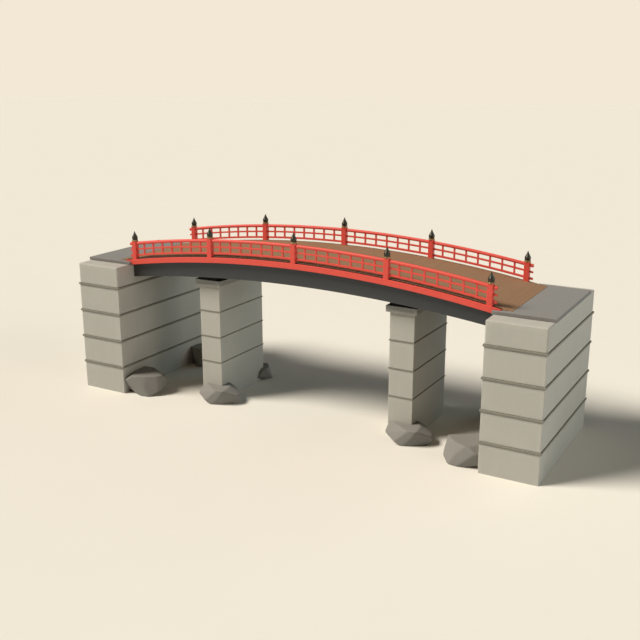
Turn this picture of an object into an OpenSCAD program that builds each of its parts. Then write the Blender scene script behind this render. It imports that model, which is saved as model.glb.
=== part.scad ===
// Moon bridge: an arched timber footbridge on stone abutments and piers.
// X runs along the bridge, Y across it, Z up; the origin is at the middle, on the footing level.

/* [Arch] */
// Height of the walking surface at the crown
deck_crown_z = 8250; // [7850:10:8850]
// Fall of the walking surface from the crown to the outermost posts
arch_fall = 815; // [650:5:950]
// Distance along the bridge between neighbouring posts
post_pitch = 5000; // [4600:50:5400]

/* [Deck] */
// Half the width of the planked deck
deck_half_w = 2660; // [2560:10:2800]
// Thickness of the planks
plank_t = 100; // [70:5:130]
// Height of the cross joists under the planks
joist_h = 170; // [120:5:220]
// Width of a cross joist
joist_w = 150; // [100:5:220]
// Joists in one railing bay
joists_per_bay = 5; // [3:1:8]
// Distance of the end sill's middle from the abutment face
sill_offset = 200; // [120:10:320]
// Length of deck that lies over each abutment
deck_lap = 790; // [660:10:900]

/* [Edge beams] */
// Depth of the red edge beam
fascia_d = 275; // [200:5:330]
// How far the edge beam's top lies below the walking surface
fascia_drop = 50; // [0:5:80]
// Thickness of the red edge beam
fascia_t = 120; // [80:5:160]
// Length of edge beam that lies over each abutment
fascia_lap = 300; // [200:10:480]

/* [Girders] */
// How far the outer girders stand back under the deck's edges
girder_back = 110; // [20:10:200]
// Width of a girder
girder_w = 600; // [500:10:700]
// Depth of a girder at the crown
girder_d = 925; // [800:5:1000]
// Fall of the girders' undersides from the crown to the abutments
soffit_fall = 685; // [600:5:760]
// Length of girder that rests on the abutment's seat
girder_seat = 450; // [300:10:600]
// Play round a girder's end in its pocket
pocket_play = 10; // [5:1:25]

/* [Posts] */
// How far the posts' and railings' middle stands back from the deck's edge
rail_back = 50; // [20:5:120]
// Side of a square post
post_w = 265; // [220:5:300]
// Chamfer on a post's upright edges
post_chamfer = 14; // [5:1:30]
// Height of a post above the deck
post_h = 935; // [900:5:1050]
// Height of the collar on a post
collar_h = 70; // [50:5:110]
// Radius of the collar's bands
collar_r = 160; // [140:1:175]
// Depth of the groove between the collar's bands
collar_groove = 10; // [4:1:20]
// Height of one collar band
collar_band_h = 22; // [12:1:24]

/* [Finials] */
// Height of an onion finial
finial_h = 480; // [450:5:520]
// Radius of the finial's belly
belly_r = 153; // [140:1:156]
// Height of the belly's middle above the collar
belly_z = 112; // [100:1:125]
// Radius of the neck under the belly
neck_r = 135; // [120:1:140]
// Height of the neck
neck_h = 40; // [20:1:55]
// Angle above level at which the belly turns into the hollow spire
ogee_angle = 29; // [27:1:45]

/* [Railings] */
// Height of the round top rail's middle above the deck
top_rail_z = 795; // [760:5:830]
// Diameter of the round top rail
top_rail_d = 172; // [140:2:200]
// Height of the middle rail's middle above the deck
mid_rail_z = 478; // [400:2:540]
// Height of the middle rail's section
mid_rail_h = 85; // [60:5:110]
// Thickness of the middle rail
mid_rail_t = 90; // [60:5:110]
// Height of the bottom rail's middle above the deck
low_rail_z = 158; // [120:2:220]
// Height of the bottom rail's section
low_rail_h = 100; // [70:5:120]
// Thickness of the bottom rail
low_rail_t = 100; // [70:5:120]
// Side of a square baluster
baluster_w = 84; // [60:1:100]
// Balusters in one bay
balusters = 7; // [4:1:10]
// Length of rail that passes through an end post
rail_end = 180; // [120:10:280]

/* [Abutments] */
// Gap along the bridge from an end post's middle to the abutment's face
abutment_gap = 250; // [200:10:400]
// Length of an abutment along the bridge
abutment_l = 2750; // [2300:50:3300]
// Width of the bare ledge beside the coping slab
ledge_w = 920; // [600:20:1200]
// Height from one joint band to the next
abutment_course = 1487; // [1300:1:1600]
// Height of a joint band
abutment_band_h = 100; // [60:5:140]
// How far a joint band stands out
abutment_band_out = 50; // [20:5:80]
// Chamfer round the top of the last course
abutment_chamfer = 65; // [15:5:90]
// Thickness of the coping slab
coping_t = 165; // [130:5:190]
// Width of coping beside the edge beams
coping_ear = 180; // [80:10:300]
// How far the coping stands out at its ends
coping_out = 50; // [20:5:80]
// Joint between the coping and the timber
coping_joint = 10; // [4:1:20]

/* [Piers] */
// How far a pier's middle lies past the inner posts
pier_past_post = 580; // [300:20:800]
// Half the length of a pier along the bridge
pier_half_l = 640; // [540:10:740]
// How far a pier's end faces stand back from the girders' outer faces
pier_back = 520; // [440:10:600]
// Height of the lowest joint band's middle
pier_foot = 2100; // [1900:10:2300]
// Height from one joint band to the next
pier_course = 1405; // [1300:5:1500]
// Height of a joint band
pier_band_h = 56; // [40:2:90]
// How far a joint band stands out
pier_band_out = 30; // [15:5:60]
// Thickness of the cap slab
cap_t = 320; // [240:10:380]
// How far the cap stands out all round
cap_out = 160; // [120:10:220]
// Height of the bearer on the cap, under the girders
bearer_h = 222; // [180:2:300]
// Half the length of the bearer along the bridge
bearer_half_l = 600; // [450:10:650]
// How far the bearer stands back from the cap's ends
bearer_back = 40; // [20:5:120]

/* [Foot stones] */
// Length of the stone at a pier's front
pier_stone_l = 2300; // [1900:50:2600]
// Width of the stone at a pier's front
pier_stone_w = 1450; // [1200:50:1700]
// Height of the stone at a pier's front
pier_stone_h = 820; // [600:20:1000]
// How far the front stone's middle lies inside the pier's right face
pier_stone_in = 60; // [0:10:300]
// Length of the stone at a pier's back
back_stone_l = 1350; // [1000:50:1600]
// Width of the stone at a pier's back
back_stone_w = 1200; // [1000:50:1400]
// Height of the stone at a pier's back
back_stone_h = 700; // [500:20:900]
// How far the back stone's middle lies inside the pier's face on the middle span
back_stone_in = 320; // [0:10:450]
// How far a pier stone's middle lies past the pier's end face
pier_stone_out = 110; // [0:10:250]
// Length of a stone at an abutment
abutment_stone_l = 2150; // [1800:50:2500]
// Width of a stone at an abutment
abutment_stone_w = 1800; // [1500:50:2100]
// Height of a stone at an abutment
abutment_stone_h = 1080; // [800:20:1300]
// How far an abutment stone's middle lies before the abutment's inner face
abutment_stone_out = 760; // [600:10:1000]
// How far the front stone's middle lies inside the abutment's end face
front_stone_in = 1000; // [850:10:1400]
// How far the stone behind it lies inside the abutment's other end face
rear_stone_in = 1110; // [950:10:1400]

/* [Hidden] */
$fn = 96;

STONE = [0.69, 0.66, 0.59];
BAND = [0.49, 0.46, 0.40];
COPING = [0.55, 0.53, 0.49];
BLACK = [0.20, 0.20, 0.18];
RED = [0.80, 0.27, 0.20];
BROWN = [0.58, 0.45, 0.34];
BRONZE = [0.25, 0.23, 0.20];
COLLAR = [0.55, 0.38, 0.24];
ROCK = [0.55, 0.52, 0.46];

// The arch is one family of arcs about a common axis, seen from the side
side_bays = 2;
post_reach = side_bays * post_pitch;
deck_r = (post_reach * post_reach + arch_fall * arch_fall) / (2 * arch_fall);
arch_axis_z = deck_crown_z - deck_r;
plank_under_r = deck_r - plank_t;
fascia_r = deck_r - fascia_drop;
girder_top_r = plank_under_r - joist_h;
function arc_z(r, x) = arch_axis_z + sqrt(r * r - x * x);

// A sector is drawn this much longer than its square-cut ends
over = 5;
// Larger than the whole bridge, for the boxes that cut it
far = 40000;
// Least height of the course above the last joint band
least_course = 300;
// The split faces of a foot stone, and how much higher than the stone their blocks are
STONE_TILTS = [[18, 24, 38], [-26, 20, -34], [22, -30, 8]];
STONE_RISE = 1.5;
// How the stones at the front and at the back are turned
FRONT_TURN = 8;
BACK_TURN = 28;

fascia_out_y = deck_half_w + fascia_t;
rail_y = deck_half_w - rail_back;
girder_face_y = deck_half_w - girder_back;
girder_mid_y = girder_face_y - girder_w / 2;

abutment_x = post_reach + abutment_gap;
deck_end_x = abutment_x + deck_lap;
fascia_end_x = abutment_x + fascia_lap;
girder_end_x = abutment_x + girder_seat;
coping_top_z = arc_z(deck_r, deck_end_x);
abutment_top_z = coping_top_z - coping_t;

// The girders' undersides follow a flatter arc, so that the girders are deepest at the crown
soffit_crown_z = arch_axis_z + girder_top_r - girder_d;
soffit_r = (abutment_x * abutment_x + soffit_fall * soffit_fall) / (2 * soffit_fall);
soffit_axis_z = soffit_crown_z - soffit_r;
seat_z = soffit_crown_z - soffit_fall;

abutment_bands = floor((abutment_top_z - least_course) / abutment_course);
coping_half_w = fascia_out_y + coping_ear;
abutment_half_w = coping_half_w + ledge_w;

pier_x = post_pitch + pier_past_post;
pier_half_w = girder_face_y - pier_back;
cap_top_z = soffit_axis_z + sqrt(soffit_r * soffit_r - pier_x * pier_x) - bearer_h;
pier_top_z = cap_top_z - cap_t;
pier_bands = floor((pier_top_z - least_course - pier_foot) / pier_course) + 1;
cap_half_w = pier_half_w + cap_out;

module block(x0, x1, y0, y1, z0, z1) {
    translate([x0, y0, z0]) cube([x1 - x0, y1 - y0, z1 - z0]);
}

module on_right(right) {
    mirror([right ? 0 : 1, 0, 0]) children();
}

module on_back(back) {
    mirror([0, back ? 0 : 1, 0]) children();
}

// A profile turned about an axis that lies across the bridge, and cut square at x0 and x1. The
// profile is drawn with its distance from the axis along X and the bridge's width along -Y.
module along_arch(r_in, r_out, x0, x1, axis_z = arch_axis_z) {
    from = acos((x1 + over) / (x1 > 0 ? r_in : r_out));
    to = acos((x0 - over) / (x0 > 0 ? r_out : r_in));
    intersection() {
        translate([0, 0, axis_z])
            rotate([90, 0, 0])
                rotate_extrude(angle = to - from, start = from, $fn = 256) children();
        block(x0, x1, -far, far, 0, far);
    }
}

// A bar of rectangular section that follows the arch
module arc_bar(r_in, r_out, y0, y1, x0, x1, axis_z = arch_axis_z) {
    along_arch(r_in, r_out, x0, x1, axis_z)
        translate([r_in, -y1]) square([r_out - r_in, y1 - y0]);
}

// A bar that runs over the crown, as two halves that meet there
module arch_member(r_in, r_out, y0, y1, x_end) {
    for (right = [false, true]) on_right(right) arc_bar(r_in, r_out, y0, y1, 0, x_end);
}

module abutment_mass() {
    block(abutment_x, abutment_x + abutment_l, -abutment_half_w, abutment_half_w, 0, abutment_top_z);
}

module girder_pockets() {
    for (y = [-girder_mid_y, 0, girder_mid_y])
        block(
            0, girder_end_x + pocket_play,
            y - girder_w / 2 - pocket_play, y + girder_w / 2 + pocket_play, seat_z, far
        );
}

// The last course has its top edges taken off, as two crossed profiles
module chamfered_course(z0, z1) {
    c = abutment_chamfer;
    module profile(a, b) {
        polygon([[a, z0], [b, z0], [b, z1 - c], [b - c, z1], [a + c, z1], [a, z1 - c]]);
    }
    intersection() {
        translate([0, abutment_half_w, 0])
            rotate([90, 0, 0])
                linear_extrude(2 * abutment_half_w) profile(abutment_x, abutment_x + abutment_l);
        translate([abutment_x, 0, 0])
            rotate([90, 0, 90]) linear_extrude(abutment_l) profile(-abutment_half_w, abutment_half_w);
    }
}

module abutment_courses(right) {
    half = abutment_band_h / 2;
    color(STONE) on_right(right) difference() {
        union() {
            for (i = [0 : abutment_bands - 1])
                block(
                    abutment_x, abutment_x + abutment_l, -abutment_half_w, abutment_half_w,
                    i == 0 ? 0 : i * abutment_course + half, (i + 1) * abutment_course - half
                );
            chamfered_course(abutment_bands * abutment_course + half, abutment_top_z);
        }
        girder_pockets();
    }
}

module abutment_joint_bands(right) {
    out = abutment_band_out;
    color(BAND) on_right(right) difference() {
        for (i = [1 : abutment_bands])
            block(
                abutment_x - out, abutment_x + abutment_l + out,
                -abutment_half_w - out, abutment_half_w + out,
                i * abutment_course - abutment_band_h / 2, i * abutment_course + abutment_band_h / 2
            );
        girder_pockets();
    }
}

// The coping is let out round the ends of the deck and of the edge beams
module abutment_coping(right) {
    color(COPING) on_right(right) difference() {
        block(
            abutment_x - coping_out, abutment_x + abutment_l + coping_out,
            -coping_half_w, coping_half_w, abutment_top_z, coping_top_z
        );
        block(
            0, deck_end_x + coping_joint,
            -deck_half_w - coping_joint, deck_half_w + coping_joint, 0, far
        );
        block(
            0, fascia_end_x + coping_joint,
            -fascia_out_y - coping_joint, fascia_out_y + coping_joint, 0, far
        );
    }
}

module pier_courses(right) {
    half = pier_band_h / 2;
    color(STONE) on_right(right) for (i = [0 : pier_bands])
        block(
            pier_x - pier_half_l, pier_x + pier_half_l, -pier_half_w, pier_half_w,
            i == 0 ? 0 : pier_foot + (i - 1) * pier_course + half,
            i == pier_bands ? pier_top_z : pier_foot + i * pier_course - half
        );
}

module pier_joint_bands(right) {
    out_l = pier_half_l + pier_band_out;
    out_w = pier_half_w + pier_band_out;
    color(BAND) on_right(right) for (i = [0 : pier_bands - 1])
        block(
            pier_x - out_l, pier_x + out_l, -out_w, out_w,
            pier_foot + i * pier_course - pier_band_h / 2, pier_foot + i * pier_course + pier_band_h / 2
        );
}

module pier_cap(right) {
    out_l = pier_half_l + cap_out;
    color(STONE) on_right(right)
        block(pier_x - out_l, pier_x + out_l, -cap_half_w, cap_half_w, pier_top_z, cap_top_z);
}

// The bearer lies flat on the cap, and its top follows the girders' undersides
module pier_bearer(right) {
    half_w = cap_half_w - bearer_back;
    color(BLACK) on_right(right) intersection() {
        arc_bar(
            soffit_r - 2 * bearer_h, soffit_r, -half_w, half_w,
            pier_x - bearer_half_l, pier_x + bearer_half_l, soffit_axis_z
        );
        block(0, far, -far, far, cap_top_z, far);
    }
}

// A girder is cut out below along the soffit, in two halves that meet at the crown, and its ends
// are cut flat to lie on the seats in the abutments
module girder(y_mid) {
    below = girder_d + soffit_fall;
    color(BLACK) for (right = [false, true]) on_right(right) translate([0, y_mid]) intersection() {
        difference() {
            arc_bar(girder_top_r - below, girder_top_r, -girder_w / 2, girder_w / 2, 0, girder_end_x);
            arc_bar(
                soffit_r - below, soffit_r, -girder_w, girder_w,
                -over, girder_end_x + over, soffit_axis_z
            );
        }
        block(0, far, -far, far, seat_z, far);
    }
}

module cross_joists() {
    last = side_bays * joists_per_bay;
    color(BLACK) {
        for (i = [-last : last]) joist(i * post_pitch / joists_per_bay);
        for (right = [false, true]) on_right(right) intersection() {
            joist(abutment_x + sill_offset);
            block(0, far, -far, far, abutment_top_z, far);
        }
    }
}

module joist(x) {
    arc_bar(girder_top_r, plank_under_r, -deck_half_w, deck_half_w, x - joist_w / 2, x + joist_w / 2);
}

module deck() {
    color(BROWN) arch_member(plank_under_r, deck_r, -deck_half_w, deck_half_w, deck_end_x);
}

// The edge beam covers the joists' ends, and its own ends are cut flat to lie on the abutments
module fascia(back) {
    color(RED) on_back(back) intersection() {
        arch_member(fascia_r - fascia_d, fascia_r, deck_half_w, fascia_out_y, fascia_end_x);
        block(-far, far, -far, far, abutment_top_z, far);
    }
}

// The three rails, cut square between x0 and x1
module rails(x0, x1) {
    top_r = deck_r + top_rail_z;
    along_arch(top_r - top_rail_d / 2, top_r + top_rail_d / 2, x0, x1)
        translate([top_r, -rail_y]) circle(d = top_rail_d);
    flat_rail(mid_rail_z, mid_rail_h, mid_rail_t, x0, x1);
    flat_rail(low_rail_z, low_rail_h, low_rail_t, x0, x1);
}

module flat_rail(z, h, t, x0, x1) {
    arc_bar(deck_r + z - h / 2, deck_r + z + h / 2, rail_y - t / 2, rail_y + t / 2, x0, x1);
}

// One bay of railing between two posts; bays count from the left end
module railing_bay(back, bay) {
    x_left = (bay - 1 - side_bays) * post_pitch;
    color(RED) on_back(back) {
        rails(x_left + post_w / 2, x_left + post_pitch - post_w / 2);
        for (i = [1 : balusters]) baluster(x_left + i * post_pitch / (balusters + 1));
    }
}

module baluster(x) {
    half = baluster_w / 2;
    block(
        x - half, x + half, rail_y - half, rail_y + half,
        arc_z(deck_r + low_rail_z, x), arc_z(deck_r + top_rail_z, x)
    );
}

// A post straddles the deck's edge: its foot is cut to the curve of the deck and of the edge beam
module posts(back) {
    w = post_w / 2;
    c = post_chamfer;
    color(RED) on_back(back) for (i = [-side_bays : side_bays]) {
        x = i * post_pitch;
        foot_z = arc_z(fascia_r, abs(x) + w) - over;
        difference() {
            translate([x, rail_y, foot_z])
                linear_extrude(arc_z(deck_r, x) + post_h - foot_z)
                    polygon([
                        [w, w - c], [w - c, w], [c - w, w], [-w, w - c],
                        [-w, c - w], [c - w, -w], [w - c, -w], [w, c - w]
                    ]);
            post_seat(x, deck_r, rail_y - post_w, deck_half_w);
            post_seat(x, fascia_r, deck_half_w - over, rail_y + post_w);
        }
    }
}

module post_seat(x, r, y0, y1) {
    half = post_w / 2 + over;
    arc_bar(r - post_w, r, y0, y1, x - half, x + half);
}

// The rails pass through the end posts and stop short of the approach
module rail_ends(back) {
    start = post_reach + post_w / 2;
    color(RED) on_back(back)
        for (right = [false, true]) on_right(right) rails(start, start + rail_end);
}

// What stands on the five posts of one side, at a height above the deck
module on_posts(back, z) {
    on_back(back) for (i = [-side_bays : side_bays]) {
        x = i * post_pitch;
        translate([x, rail_y, arc_z(deck_r, x) + z]) children();
    }
}

// A turned collar with two bands and a groove between them
module post_collars(back) {
    color(COLLAR) on_posts(back, post_h) {
        cylinder(h = collar_h, r = collar_r - collar_groove);
        cylinder(h = collar_band_h, r = collar_r);
        translate([0, 0, collar_h - collar_band_h]) cylinder(h = collar_band_h, r = collar_r);
    }
}

// Half outline of the onion: a round belly on a neck, then a hollow arc that runs up to the point.
// The hollow arc touches the belly at ogee_angle and ends at the tip on the axis.
module finial_outline() {
    rise = finial_h - belly_z;
    s = sin(ogee_angle);
    hollow_r = (2 * rise * belly_r * s - belly_r * belly_r - rise * rise) / (2 * belly_r - 2 * rise * s);
    touch = [belly_r * cos(ogee_angle), belly_z + belly_r * s];
    hollow = [(belly_r + hollow_r) * cos(ogee_angle), belly_z + (belly_r + hollow_r) * s];
    square([neck_r, neck_h]);
    intersection() {
        translate([0, belly_z]) circle(r = belly_r);
        square([belly_r, belly_z + belly_r * s]);
    }
    difference() {
        polygon([[0, touch[1]], touch, [0, finial_h]]);
        translate(hollow) circle(r = hollow_r, $fn = 256);
    }
}

module finials(back) {
    color(BRONZE) on_posts(back, post_h + collar_h) rotate_extrude() finial_outline();
}

// A split boulder: a block with its corners taken off by three tilted blocks about the same middle
module boulder(l, w, h, turn) {
    rotate([0, 0, turn]) intersection() {
        translate([-l / 2, -w / 2, 0]) cube([l, w, h]);
        translate([0, 0, h / 2]) intersection_for(tilt = STONE_TILTS)
            rotate(tilt) cube([l, w, STONE_RISE * h], center = true);
    }
}

// The front stone lies at the pier's right corner, and the back stone on the side of the middle span
module pier_foot_stones(right) {
    x = (right ? 1 : -1) * pier_x;
    end_y = pier_half_w + pier_stone_out;
    color(ROCK) difference() {
        union() {
            translate([x + pier_half_l - pier_stone_in, -end_y])
                boulder(pier_stone_l, pier_stone_w, pier_stone_h, FRONT_TURN);
            on_right(right)
                translate([pier_x - pier_half_l + back_stone_in, end_y])
                    boulder(back_stone_l, back_stone_w, back_stone_h, BACK_TURN);
        }
        block(x - pier_half_l, x + pier_half_l, -pier_half_w, pier_half_w, 0, far);
    }
}

module abutment_foot_stones(right) {
    color(ROCK) on_right(right) difference() {
        for (back = [false, true]) on_back(back)
            translate([
                abutment_x - abutment_stone_out,
                abutment_half_w - (back ? rear_stone_in : front_stone_in)
            ])
                boulder(
                    abutment_stone_l, abutment_stone_w, abutment_stone_h,
                    back ? BACK_TURN : FRONT_TURN
                );
        abutment_mass();
    }
}

abutment_courses(false);  // left_abutment_courses
abutment_joint_bands(false);  // left_abutment_joint_bands
abutment_coping(false);  // left_abutment_coping
abutment_courses(true);  // right_abutment_courses
abutment_joint_bands(true);  // right_abutment_joint_bands
abutment_coping(true);  // right_abutment_coping
pier_courses(false);  // left_pier_courses
pier_joint_bands(false);  // left_pier_joint_bands
pier_cap(false);  // left_pier_cap
pier_bearer(false);  // left_pier_bearer
pier_courses(true);  // right_pier_courses
pier_joint_bands(true);  // right_pier_joint_bands
pier_cap(true);  // right_pier_cap
pier_bearer(true);  // right_pier_bearer
girder(-girder_mid_y);  // front_girder
girder(0);  // centre_girder
girder(girder_mid_y);  // back_girder
cross_joists();
deck();
fascia(false);  // front_fascia
fascia(true);  // back_fascia
railing_bay(false, 1);  // front_railing_bay_1
railing_bay(false, 2);  // front_railing_bay_2
railing_bay(false, 3);  // front_railing_bay_3
railing_bay(false, 4);  // front_railing_bay_4
railing_bay(true, 1);  // back_railing_bay_1
railing_bay(true, 2);  // back_railing_bay_2
railing_bay(true, 3);  // back_railing_bay_3
railing_bay(true, 4);  // back_railing_bay_4
posts(false);  // front_posts
posts(true);  // back_posts
rail_ends(false);  // front_rail_ends
rail_ends(true);  // back_rail_ends
post_collars(false);  // front_post_collars
post_collars(true);  // back_post_collars
finials(false);  // front_finials
finials(true);  // back_finials
abutment_foot_stones(false);  // left_abutment_foot_stones
pier_foot_stones(false);  // left_pier_foot_stones
pier_foot_stones(true);  // right_pier_foot_stones
abutment_foot_stones(true);  // right_abutment_foot_stones
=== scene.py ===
import math

import bpy
import numpy as np
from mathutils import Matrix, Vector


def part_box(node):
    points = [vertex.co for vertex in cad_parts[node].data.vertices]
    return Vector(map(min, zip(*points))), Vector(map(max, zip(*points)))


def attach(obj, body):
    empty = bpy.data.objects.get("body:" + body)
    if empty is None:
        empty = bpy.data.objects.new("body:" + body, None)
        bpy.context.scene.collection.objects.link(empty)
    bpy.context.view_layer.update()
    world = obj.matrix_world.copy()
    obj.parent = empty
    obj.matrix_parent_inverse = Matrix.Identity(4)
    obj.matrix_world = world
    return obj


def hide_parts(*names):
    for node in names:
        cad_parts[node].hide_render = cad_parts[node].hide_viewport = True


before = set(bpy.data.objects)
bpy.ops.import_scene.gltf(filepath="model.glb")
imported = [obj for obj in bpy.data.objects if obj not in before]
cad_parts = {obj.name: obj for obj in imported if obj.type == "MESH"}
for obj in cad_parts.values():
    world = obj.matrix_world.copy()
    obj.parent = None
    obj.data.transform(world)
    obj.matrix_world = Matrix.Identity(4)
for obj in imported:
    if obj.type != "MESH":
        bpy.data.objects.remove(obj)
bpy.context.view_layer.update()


# Abutment courses
# Each abutment is five courses of pale granite, dressed flat and laid dry, with a thin band of darker
# stone on each of the first four. The last course is rounded off where the weather gets at it.
COURSES = 5
COURSE_PITCH = 1.487
BAND_H = 0.100
COURSE_WORN = 0.030
LAST_COURSE_WORN = 0.085
HEWN_DEPTH = 0.004
COURSE_SHADE = 0.015


def rounded_outline(corners, radius, step=9.0, turn=5):
    """Points, outward normals and edge weight round a polygon with square corners, given anticlockwise.
    Straight sides are stepped evenly. An outer corner is a quarter circle of the radius, and at a
    hollow corner the normal turns on the spot. The weight is 1 on the corners and 0 on the sides."""
    corners = np.asarray(corners, float)
    sides = np.roll(corners, -1, 0) - corners
    along = sides / np.linalg.norm(sides, axis=1)[:, None]
    out = np.stack([along[:, 1], -along[:, 0]], 1)
    before = np.roll(along, 1, 0)
    outer = before[:, 0] * along[:, 1] - before[:, 1] * along[:, 0] > 0
    inset = np.where(outer, radius, 0.0)
    angle = np.linspace(0, np.pi / 2, turn)[:, None]
    points, normals, weight = [], [], []
    for i, corner in enumerate(corners):
        normal = out[i - 1] * np.cos(angle) + out[i] * np.sin(angle)
        points.append(corner + inset[i] * (normal - out[i - 1] - out[i]))
        normals.append(normal)
        weight.append(np.ones(turn))
        after = (i + 1) % len(corners)
        start = corner + along[i] * inset[i]
        end = corners[after] - along[i] * inset[after]
        count = math.ceil(np.linalg.norm(end - start) / step)
        share = np.linspace(0, 1, count + 1)[1:-1, None]
        points.append(start + (end - start) * share)
        normals.append(np.repeat(out[i][None], len(share), 0))
        weight.append(np.zeros(len(share)))
    return np.concatenate(points), np.concatenate(normals), np.concatenate(weight)


def box_outline(a0, a1, b0, b1, radius, step=9.0, turn=5):
    """The outline of a rectangle from (a0, b0) to (a1, b1)."""
    return rounded_outline([(a0, b0), (a1, b0), (a1, b1), (a0, b1)], radius, step, turn)


def rim_stations(start, end, worn_start, worn_end, step=9.0, turn=5):
    """Stations along a prism, how far its outline is pulled in at each, and their edge weight: a
    quarter circle at each worn rim, one plain station at a sharp one, and even steps between."""
    angle = np.linspace(0, np.pi / 2, turn)
    first = angle if worn_start else angle[-1:]
    last = angle[::-1] if worn_end else angle[-1:]
    count = math.ceil((end - start - worn_start - worn_end) / step)
    middle = np.linspace(start + worn_start, end - worn_end, count + 1)[1:-1]
    place = [start + worn_start * (1 - np.cos(first)), middle, end - worn_end * (1 - np.cos(last))]
    pull = [worn_start * (1 - np.sin(first)), 0 * middle, worn_end * (1 - np.sin(last))]
    rim = [np.full(len(first), worn_start > 0), 0 * middle, np.full(len(last), worn_end > 0)]
    return np.concatenate(place), np.concatenate(pull), np.concatenate(rim)


def prism(outline, stations):
    """A prism with worn rims, as three grids, rows by columns: the two coordinates of its outline,
    drawn in along the normals by each station's pull, and the station itself. The fourth grid is the
    edge weight, the larger of the outline's and the rim's."""
    points, normals, weight = outline
    place, pull, rim = stations
    drawn = points[None] - pull[:, None, None] * normals[None]
    edge = np.maximum(weight[None], rim[:, None])
    return drawn[..., 0], drawn[..., 1], np.broadcast_to(place[:, None], edge.shape), edge


def hewn(points, depth):
    """Unevenness left by the chisel: four crossed sine waves, half a metre to a metre long, move each
    point along each axis by the depth at most, and nothing sinks below the footing."""
    waves = np.array([[4.1, 7.3, 5.2], [-6.7, 4.9, 8.8], [9.4, -5.1, 6.1], [3.2, 11.7, -10.3]])
    phase = points @ waves.T
    moved = points + depth * np.stack([np.sin(phase + k).mean(-1) for k in (0.0, 2.1, 4.2)], -1)
    moved[..., 2] = np.where(points[..., 2] > 0, np.maximum(moved[..., 2], 0), 0)
    return moved


def shade_of(number):
    """A steady pseudo-random shade from -1 to 1 for the n-th stone or board: the fraction of a large
    multiple of a sine."""
    return 2 * (math.sin(number * 12.9898 + 4.1) * 43758.5453 % 1.0) - 1


def add_piece(name, shells, material, slot, *nodes):
    """Joins closed shells into one mesh that rides on the bridge and stands for the CAD nodes. A shell
    is a grid of points, rows by columns, with edge weight and shade, for each point or one for all.
    Its columns close in a ring, a polygon closes its first row and another its last, and it is turned
    the right way out by the sign of its volume."""
    points, faces, edge, shade, base = [], [], [], [], 0
    for grid, weight, tone in shells:
        rows, columns = grid.shape[:2]
        index = base + np.arange(rows * columns).reshape(rows, columns)
        beside = np.roll(index, -1, 1)
        quads = np.stack([index[:-1], beside[:-1], beside[1:], index[1:]], -1).reshape(-1, 4)
        ends = [index[0, ::-1], index[-1]]
        flat = grid.reshape(-1, 3)
        a, b, c, d = (flat[quads[:, k] - base] - flat.mean(0) for k in range(4))
        volume = (np.cross(b - a, d - a) * a).sum() + (np.cross(d - c, b - c) * c).sum()
        if volume < 0:
            quads = quads[:, ::-1]
            ends = [end[::-1] for end in ends]
        points.append(flat)
        faces += quads.tolist() + [end.tolist() for end in ends]
        edge.append(np.broadcast_to(weight, (rows, columns)).ravel())
        shade.append(np.broadcast_to(tone, (rows, columns)).ravel())
        base += rows * columns
    mesh = bpy.data.meshes.new(name)
    mesh.from_pydata(np.concatenate(points), [], faces)
    for label, values in (("edge", edge), ("shade", shade)):
        layer = mesh.attributes.new(label, "FLOAT", "POINT")
        layer.data.foreach_set("value", np.concatenate(values).astype(np.float32))
    mesh.shade_smooth()
    mesh.set_sharp_from_angle(angle=math.radians(50))
    mesh.materials.append(material)
    piece = bpy.data.objects.new(name, mesh)
    bpy.context.scene.collection.objects.link(piece)
    piece.modifiers.new("soft_edges", "WEIGHTED_NORMAL").keep_sharp = True
    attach(piece, "root")
    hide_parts(*nodes)


def srgb(red, green, blue):
    """A colour given as screen values from 0 to 255, as the linear colour that shaders take."""
    screen = np.array([red, green, blue]) / 255
    linear = np.where(screen < 0.04045, screen / 12.92, ((screen + 0.055) / 1.055) ** 2.4)
    return (*linear.tolist(), 1.0)


def add_node(tree, kind, inputs=(), **settings):
    """Adds a shader node. Each input, by name or number, takes a plain value or a link."""
    node = tree.nodes.new("ShaderNode" + kind)
    for setting, value in settings.items():
        setattr(node, setting, value)
    for key, value in dict(inputs).items():
        if isinstance(value, bpy.types.NodeSocket):
            tree.links.new(value, node.inputs[key])
        else:
            node.inputs[key].default_value = value
    return node


def add_math(tree, operation, a, b):
    """The result of one sum on two values."""
    return add_node(tree, "Math", {0: a, 1: b}, operation=operation).outputs[0]


def add_noise(tree, vector, scale, detail=4.0, rough=0.6):
    """A noise from 0 to 1 with so many waves to the unit of the vector."""
    inputs = {"Vector": vector, "Scale": scale, "Detail": detail, "Roughness": rough}
    return add_node(tree, "TexNoise", inputs).outputs["Fac"]


def mix_colour(tree, factor, a, b, blend="MIX"):
    """Colour a, blended with b by the factor."""
    inputs = {0: factor, 6: a, 7: b}
    return add_node(tree, "Mix", inputs, data_type="RGBA", blend_type=blend).outputs[2]


def new_group(name, inputs, outputs):
    """An empty shader node group; gives it with the sockets inside it. Vector is a vector, all else a
    plain value."""
    group = bpy.data.node_groups.new(name, "ShaderNodeTree")
    for socket in inputs:
        kind = "NodeSocketVector" if socket == "Vector" else "NodeSocketFloat"
        group.interface.new_socket(socket, in_out="INPUT", socket_type=kind)
    for socket in outputs:
        group.interface.new_socket(socket, in_out="OUTPUT", socket_type="NodeSocketFloat")
    return group, group.nodes.new("NodeGroupInput").outputs, group.nodes.new("NodeGroupOutput").inputs


def new_material(name):
    """A material with a bare Principled shader; gives it with its tree, the shader and Object
    coordinates."""
    material = bpy.data.materials.new(name)
    material.use_nodes = True
    tree = material.node_tree
    return material, tree, tree.nodes["Principled BSDF"], add_node(tree, "TexCoord").outputs["Object"]


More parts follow.
